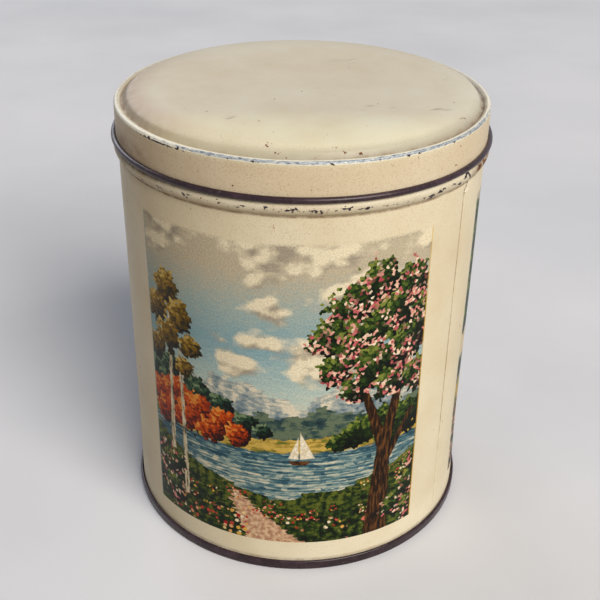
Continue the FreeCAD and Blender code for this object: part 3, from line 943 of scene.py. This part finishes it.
def wallDent(onLeft, radius, height, angle):
    # side seam: a groove outside, the folded strip inside, and the lapped edge at the bead; the sheet sways
    along = np.radians(turnGap(angle, wall["seamAngle"])) * wallAt
    locked = (height > wall["foldFoot"]) & (height < wall["foldTop"])
    halfGroove, halfFold = wall["grooveWidth"] / 2, wall["foldWidth"] / 2
    groove = between(np.abs(along - halfGroove), halfGroove, 0) * wall["grooveDepth"]
    inFold = between(np.abs(along - wall["foldMiddle"]), halfFold, halfFold - wall["foldSlope"])
    inFold *= wall["foldDepth"]
    beyond = turnGap(angle, np.interp(height, *wall["lapCorner"]))
    lap = np.where((beyond > 0) & (beyond < wall["lapRamp"]), 1 - beyond / wall["lapRamp"], 0) * sheetGauge
    lap = lap * (height > wall["foldTop"])
    tab = (np.abs(height - wall["foldTop"]) < 0.1) & (along > 0) & (beyond < 0)
    turn = np.radians(angle)
    sway = 0.10 * np.sin(3 * turn + 0.7) * np.sin(height / 21.0) + 0.06 * np.sin(7 * turn + height / 17.0)
    sway = (sway - 0.16) * between(height, 8, 33) * between(height, 112, 92)
    return np.where(onLeft, -groove * locked - lap - 0.2 * tab, -inFold * locked - lap) + sway, 0.0


def wallWear(spread, z, aim):
    strength, size = wall["lapBare"]
    lapSpots = [(np.interp(h, *wall["lapCorner"]), h, size) for h in np.arange(119.4, 125.4, 0.15)]
    knocks = [strength * spotted(z, aim, lapSpots, perDegree)]
    for a, h, half, strength, *tall in wall["knocks"]:
        knocks.append(strength * towards(aim, a, half) * hump(z, h, tall[0] if tall else 0.9 + 0.15 * half))
    grime = []
    for h, half, strength, *part in wall["grime"]:
        grime.append(strength * hump(z, h, half) * (towards(aim, *part) if part else 1.0))
    along = np.radians(turnGap(aim, wall["seamAngle"])) * wallAt
    inSeam = (z > wall["foldFoot"]) * (z < wall["foldTop"] + 0.5)
    marks = {
        "knock": np.max(knocks, axis=0),
        "grime": np.max(grime, axis=0),
        "rust": spotted(z, aim, wall["rustSpots"], perDegree),
        "seam": hump(along, 0.6, 0.55) * inSeam * np.maximum(between(z, 14, 44), 0.35),
        "speckle": 0.30 + 0.30 * between(z, 108, 118),
    }
    # a little paler above the pictures, paler near the foot as painted light thrown up from the floor, and
    # rubbed at the bead
    return marks, tinted([
        (between(z, 112, 122), (-0.01, -0.02, -0.04)),
        (between(z, 16, 8), (-0.08, -0.10, -0.14)),
        (hump(z, wall["bead"], 2.6), (0.08, 0.06, 0.02)),
    ])


seamAngle = wall["seamAngle"]
closeAngles = list(seamAngle + np.arange(*wall["seamReach"]))
closeAngles += [wall["lapEdge"] - 0.02, wall["lapEdge"] + 0.02]
wallAngles = [a if a >= seamAngle else a + 360.0 for a in closeAngles]
for a in np.arange(seamAngle, seamAngle + 360.0, columnStep):
    if abs(turnGap(a, seamAngle + 3.0)) > 11.1:  # outside the close columns
        wallAngles.append(a)
zones, pictureInks = [], []
for start, picture in zip(printZone["starts"], (lakePicture, harvestPicture, riverPicture)):
    end = start + printZone["span"]
    wallAngles += [start, end]
    zones.append((start, end, printZone["low"], printZone["high"]))
    material, add = startMaterial("printed inks on enamelled tinplate")
    coat = add("Group", node_tree=enamelCoat, out="all")
    across = add("SeparateXYZ", add("UVMap", uv_map="wrap"), out="X")
    x = add("Math.SUBTRACT", across, math.radians(start) * girthRadius)
    z = add("SeparateXYZ", add("TexCoord", out="Object"), out="Z")
    y = add("Math.MULTIPLY_ADD", z, 1 / mm, -printZone["low"])
    inks = paintPicture(add, x, y, picture)
    screen = add("TexNoise", add("CombineXYZ", x, y), 1 / printZone["screen"], Detail=1.0)
    screen = add("MapRange", screen, 0.35, 0.65, 0.84, 1.06)
    inks = add("VectorMath.SCALE", inks, screen)
    for first, last, code in printZone["slivers"]:
        inks = add("Mix.RGBA", add("MapRange", x, first, last, 0.0, 0.6), inks, toLinear(code))
    ragged = add("Math.MULTIPLY_ADD", screen, 3.0, y)
    colour = add("Mix.RGBA", add("MapRange", ragged, *printZone["raggedTop"]), coat["colour"], inks)
    shader = coated(
        add, colour, coat["matt"], coat["height"], enamel["relief"], printZone["shine"], coat["metal"]
    )
    add("OutputMaterial", Surface=shader)
    pictureInks.append(material)
print("pictures printed")
wallAngles = sorted(set(np.round(wallAngles, 3)))
sheetInks = [cream, lacquer, lacquer] + pictureInks
wallPiece = spinSheet("wall_sheet", wallMiddle, wallAngles, sheetInks, wallDent, wallWear, zones)
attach(wallPiece, "canister")
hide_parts("body_wall")

# Base: stamped end, double-seamed round the wall's hook
base = {
    "panel": 3.65,
    "chuck": 54.49,
    "foot": 0.15,
    "rim": 55.93,
    "rimTop": 3.15,
    "coverEnd": 0.87,
    "corner": 0.5,
    "topBend": 0.34,
}
panel, chuck, rim, corner, topBend = (base[k] for k in ("panel", "chuck", "rim", "corner", "topBend"))
cornerHeight, rimHeight = base["foot"] + corner, base["rimTop"] - topBend
baseMiddle = [(0.0, panel)]
lineTo(baseMiddle, (chuck - corner, panel), 12)
baseMiddle += arcPoints((chuck - corner, panel - corner), corner, 90, 0, 5)[1:]
lineTo(baseMiddle, (chuck, cornerHeight), 3)
baseMiddle += arcPoints((chuck + corner, cornerHeight), corner, 180, 270, 5)[1:]
baseMiddle += arcPoints((rim - corner, cornerHeight), corner, 270, 360, 5)
lineTo(baseMiddle, (rim, rimHeight), 3)
baseMiddle += arcPoints((rim - topBend, rimHeight), topBend, 0, 180, 8)[1:]
lineTo(baseMiddle, (rim - 2 * topBend, base["coverEnd"]), 2)
basePiece = spinSheet("base_end_seam", baseMiddle, evenAngles, [lacquer, lacquer, lacquer])
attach(basePiece, "canister")
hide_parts("base_end")

# Floor of pale matt paper: a faint cloudy tone and a soft tooth
floorSet = {
    "tones": ramp((0.35, 0.65), "#D3D7DF #DDE0E7"),
    "bounce": "#8A7862",  # the light it throws back on the tin is that of a darker table
    "cloud": 140.0,
    "tooth": 1.2,
    "matt": 0.85,
    "shine": 0.1,
    "relief": (0.2, 0.1),
    "reach": 6000.0,
    "fade": (450.0, 2400.0),  # distances over which it turns into the backdrop
    "backdrop": "#C4C7CE",
}


def seenOutright(add):  # 1 for what the camera sees, also in a reflection or through glass
    path = add("LightPath", out="all")
    seen = path["Is Camera Ray"]
    for kind in ("Is Glossy Ray", "Is Transmission Ray"):
        seen = add("Math.MAXIMUM", seen, path[kind])
    return seen


reach = floorSet["reach"] * mm
rimPoints = [(reach * math.cos(t), reach * math.sin(t), 0) for t in np.radians(np.arange(0, 360, 5))]
floorMesh = bpy.data.meshes.new("floor")
floorMesh.from_pydata(rimPoints, [], [list(range(len(rimPoints)))])
floorPaper, add = startMaterial("pale matt paper")
spot = placeInMm(add)
cloudy = add("TexNoise", spot, 1 / floorSet["cloud"], Detail=4.0)
seen = seenOutright(add)
colour = add("ValToRGB", cloudy, stops=floorSet["tones"])
colour = add("Mix.RGBA", seen, toLinear(floorSet["bounce"]), colour)
tooth = add("TexNoise", spot, 1 / floorSet["tooth"], Detail=3.0)
shader = coated(add, colour, floorSet["matt"], tooth, floorSet["relief"], floorSet["shine"])
away = add("VectorMath.LENGTH", spot)
away = add("MapRange", away, *floorSet["fade"], interpolation_type="SMOOTHSTEP")
far = add("Emission", Color=toLinear(floorSet["backdrop"]))
shader = add("MixShader", add("Math.MULTIPLY", away, seen), shader, far)
add("OutputMaterial", Surface=shader)
floorMesh.materials.append(floorPaper)
floor = addObject("floor", floorMesh)

# Soft studio light: a large window on the right, a faint one from behind, and an even surround
studio = {
    "surround": ("#ECECEE", 0.20),
    "lamps": [  # name, angle, angle above level, distance, size, watts, colour
        ("window", 34, 40, 5000, 3000, 290.0, "#FFF6EA"),
        ("backlight", -146, 30, 4000, 2200, 42.0, "#F2F5FF"),
    ],
}
world = bpy.data.worlds.new("studio")
scene.world = world
world.use_nodes = True
world.node_tree.nodes.clear()
add = partial(addNode, world.node_tree)
surround, strength = studio["surround"]
sky = add("Background", Color=toLinear(surround), Strength=strength)
backdrop = add("Background", Color=toLinear(floorSet["backdrop"]), Strength=1.0)
sky = add("MixShader", seenOutright(add), sky, backdrop)
add("OutputWorld", Surface=sky)
for name, turn, up, distance, size, watts, code in studio["lamps"]:
    turn, up = math.radians(turn), math.radians(up)
    lamp = bpy.data.lights.new(name, "AREA")
    lamp.size = size * mm
    lamp.energy = watts
    lamp.color = toLinear(code)[:3]
    holder = addObject(name, lamp)
    way = Vector((math.cos(up) * math.sin(turn), -math.cos(up) * math.cos(turn), math.sin(up)))
    holder.location = way * distance * mm
    holder.rotation_mode = "QUATERNION"
    holder.rotation_quaternion = (-way).to_track_quat("-Z", "Y")
print("floor and light set")

scene.view_settings.view_transform = "Standard"
